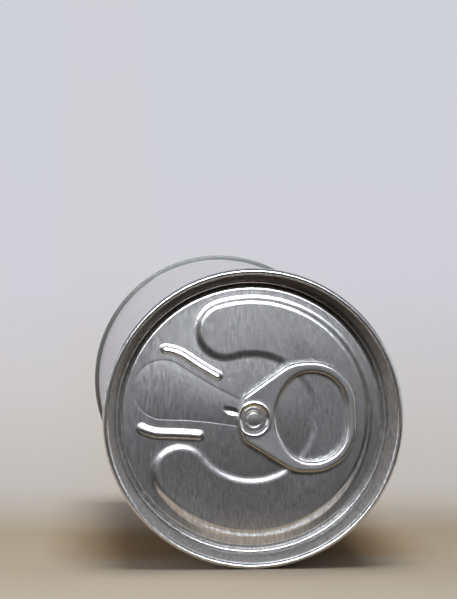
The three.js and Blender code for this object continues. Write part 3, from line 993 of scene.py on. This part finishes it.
def floor_paper():
    """Pale paper: beige near the can and darker further ahead of it as a painted fall-off of the light, with
    a painted brown shadow below the can, and glowing lilac grey far behind it.
    """
    material, tree, shader = new_material("floor_paper")
    # The paper gets darker further ahead of the can, a painted fall-off of the light there.
    paper = [(-0.3, (0.3, 0.27, 0.22)), (-0.1, (0.46, 0.40, 0.32)), (-0.06, (0.40, 0.34, 0.265)),
             (0.0, (0.36, 0.30, 0.22)), (0.1, (0.40, 0.385, 0.37))]
    # Painted shadow: a brown tint on the floor below and beside the can, within a band across it.
    painted_shadow_width = [(0.0, WHITE), (0.03, WHITE), (0.048, BLACK)]
    painted_shadow_brown = [(-0.05, WHITE), (-0.036, (0.82, 0.68, 0.55)), (-0.012, (0.82, 0.68, 0.55)),
             (0.012, (1, 0.97, 0.93))]
    glow = [(0.0, BLACK), (0.05, (0.055, 0.053, 0.05)), (0.1, (0.075, 0.07, 0.065)),
            (0.4, (0.18, 0.175, 0.185)), (0.9, (0.315, 0.315, 0.345)), (1.25, (0.38, 0.385, 0.425)),
            (1.6, (0.43, 0.44, 0.485)), (1.9, (0.455, 0.475, 0.525))]
    shader.inputs["Roughness"].default_value = 0.8
    shader.inputs["Specular IOR Level"].default_value = 0
    shader.inputs["Emission Strength"].default_value = 1
    place = coordinates(tree, "Object")
    sideways = calculated(tree, "ABSOLUTE", place["X"])
    below = colour_along(tree, sideways, painted_shadow_width)
    shadow_tint = blended(tree, below, colour_along(tree, place["Y"], painted_shadow_brown))
    colour = darkened(tree, colour_along(tree, place["Y"], paper), shadow_tint)
    light = colour_along(tree, place["Y"], glow)
    tree.links.new(colour, shader.inputs["Base Color"])
    tree.links.new(light, shader.inputs["Emission Color"])
    return material


def stage_piece(name, points, faces, material):
    mesh = bpy.data.meshes.new(name)
    mesh.from_pydata(points, [], faces)
    mesh.shade_smooth()
    mesh.materials.append(material)
    piece = bpy.data.objects.new(name, mesh)
    bpy.context.scene.collection.objects.link(piece)
    return piece


def sweep(material):
    """The floor, which curves up far behind the can into a backdrop."""
    half_width = 3.0
    start = -3.0
    near_can = -0.5
    bend_start = 1.3
    bend_radius = 0.6
    bend_angles = np.radians(np.linspace(5, 90, 18))
    top = 3.0
    section = [(start, 0), (near_can, 0), (bend_start, 0)]
    for angle in bend_angles:
        section.append((bend_start + bend_radius * math.sin(angle), bend_radius * (1 - math.cos(angle))))
    section.append((bend_start + bend_radius, top))
    points = [(x, y, z) for y, z in section for x in (-half_width, half_width)]
    faces = [(2 * i, 2 * i + 1, 2 * i + 3, 2 * i + 2) for i in range(len(section) - 1)]
    stage_piece("floor_sweep", points, faces, material)


def dark_card():
    """A dark card on the floor ahead of the can, seen only in the reflections on its metal, where it stands
    in for the shade there.
    """
    material, _, shader = new_material("dark_card")
    shader.inputs["Base Color"].default_value = (*BLACK, 1)
    shader.inputs["Specular IOR Level"].default_value = 0
    shader.inputs["Emission Color"].default_value = (0.02, 0.019, 0.018, 1)
    shader.inputs["Emission Strength"].default_value = 1
    half_width = 0.3
    near = -0.09
    far = -1.5
    height = 0.001
    corners = [(-half_width, far), (half_width, far), (half_width, near), (-half_width, near)]
    card = stage_piece("dark_card", [(x, y, height) for x, y in corners], [(0, 1, 2, 3)], material)
    card.visible_camera = False
    card.visible_diffuse = False
    card.visible_shadow = False


def softbox(name, distance, azimuth, elevation, width, height, power):
    """An area light that faces the ring-pull end, which sees it in this direction, in degrees."""
    target = Vector((0, FRONT * MM, AXIS_HEIGHT * MM))
    turn = math.radians(azimuth)
    rise = math.radians(elevation)
    towards = Vector((math.sin(turn) * math.cos(rise), -math.cos(turn) * math.cos(rise), math.sin(rise)))
    data = bpy.data.lights.new(name, "AREA")
    data.shape = "RECTANGLE"
    data.size = width
    data.size_y = height
    data.energy = power
    light = bpy.data.objects.new(name, data)
    light.location = target + towards * distance
    light.rotation_euler = (-towards).to_track_quat("-Z", "Y").to_euler()
    light.visible_camera = False
    bpy.context.scene.collection.objects.link(light)
    return light


def lights():
    """A front light and two weak side cards for the reflections, and two soft lights for the rest."""
    front = softbox("front_softbox", distance=0.7, azimuth=-1.8, elevation=21,
                    width=0.3621, height=0.1968, power=3.05)
    front.data.color = (0.96, 0.99, 1.05)
    front.visible_diffuse = False
    overhead = softbox("overhead_softbox", distance=1.3, azimuth=70, elevation=87,
                       width=0.7, height=0.7, power=15.2)
    overhead.visible_glossy = False
    for name, azimuth in (("right_card", 75), ("left_card", -75)):
        card = softbox(name, distance=0.9, azimuth=azimuth, elevation=8, width=0.6, height=0.5, power=0.8)
        card.visible_diffuse = False
    fill = softbox("left_fill", distance=1.2, azimuth=-120, elevation=17, width=0.6, height=0.6, power=4.3)
    fill.visible_glossy = False


def room_light():
    """Soft light from all round: dim from below and level with the can, and lighter from above."""
    room = bpy.data.worlds.new("room")
    bpy.context.scene.world = room
    room.use_nodes = True
    tree = room.node_tree
    height = [(-0.1, (0.03, 0.025, 0.018)), (0.1, (0.05, 0.043, 0.035)), (0.3, (0.2, 0.205, 0.22)),
              (0.9, (0.19, 0.19, 0.2))]
    colour = colour_along(tree, coordinates(tree, "Generated")["Z"], height)
    tree.links.new(colour, tree.nodes["Background"].inputs["Color"])


def camera():
    data = bpy.data.cameras.new("camera")
    data.lens = CAMERA_LENS
    data.sensor_width = CAMERA_SENSOR
    data.clip_start, data.clip_end = CAMERA_CLIP
    view = bpy.data.objects.new("camera", data)
    view.location = Vector(CAMERA_PLACE) * MM
    view.rotation_euler = (math.pi / 2 - CAMERA_TILT, 0, -CAMERA_TURN)
    bpy.context.scene.collection.objects.link(view)
    bpy.context.scene.camera = view


def build():
    camera()
    room_light()
    sweep(floor_paper())
    dark_card()
    lights()
    sheet = end_aluminium()
    top_end(sheet)
    rivet(sheet)
    ring_tab(tab_aluminium())
    body_wall(enamel())
    bottom_end(base_tinplate())
    bpy.context.scene.view_settings.view_transform = "Standard"


build()
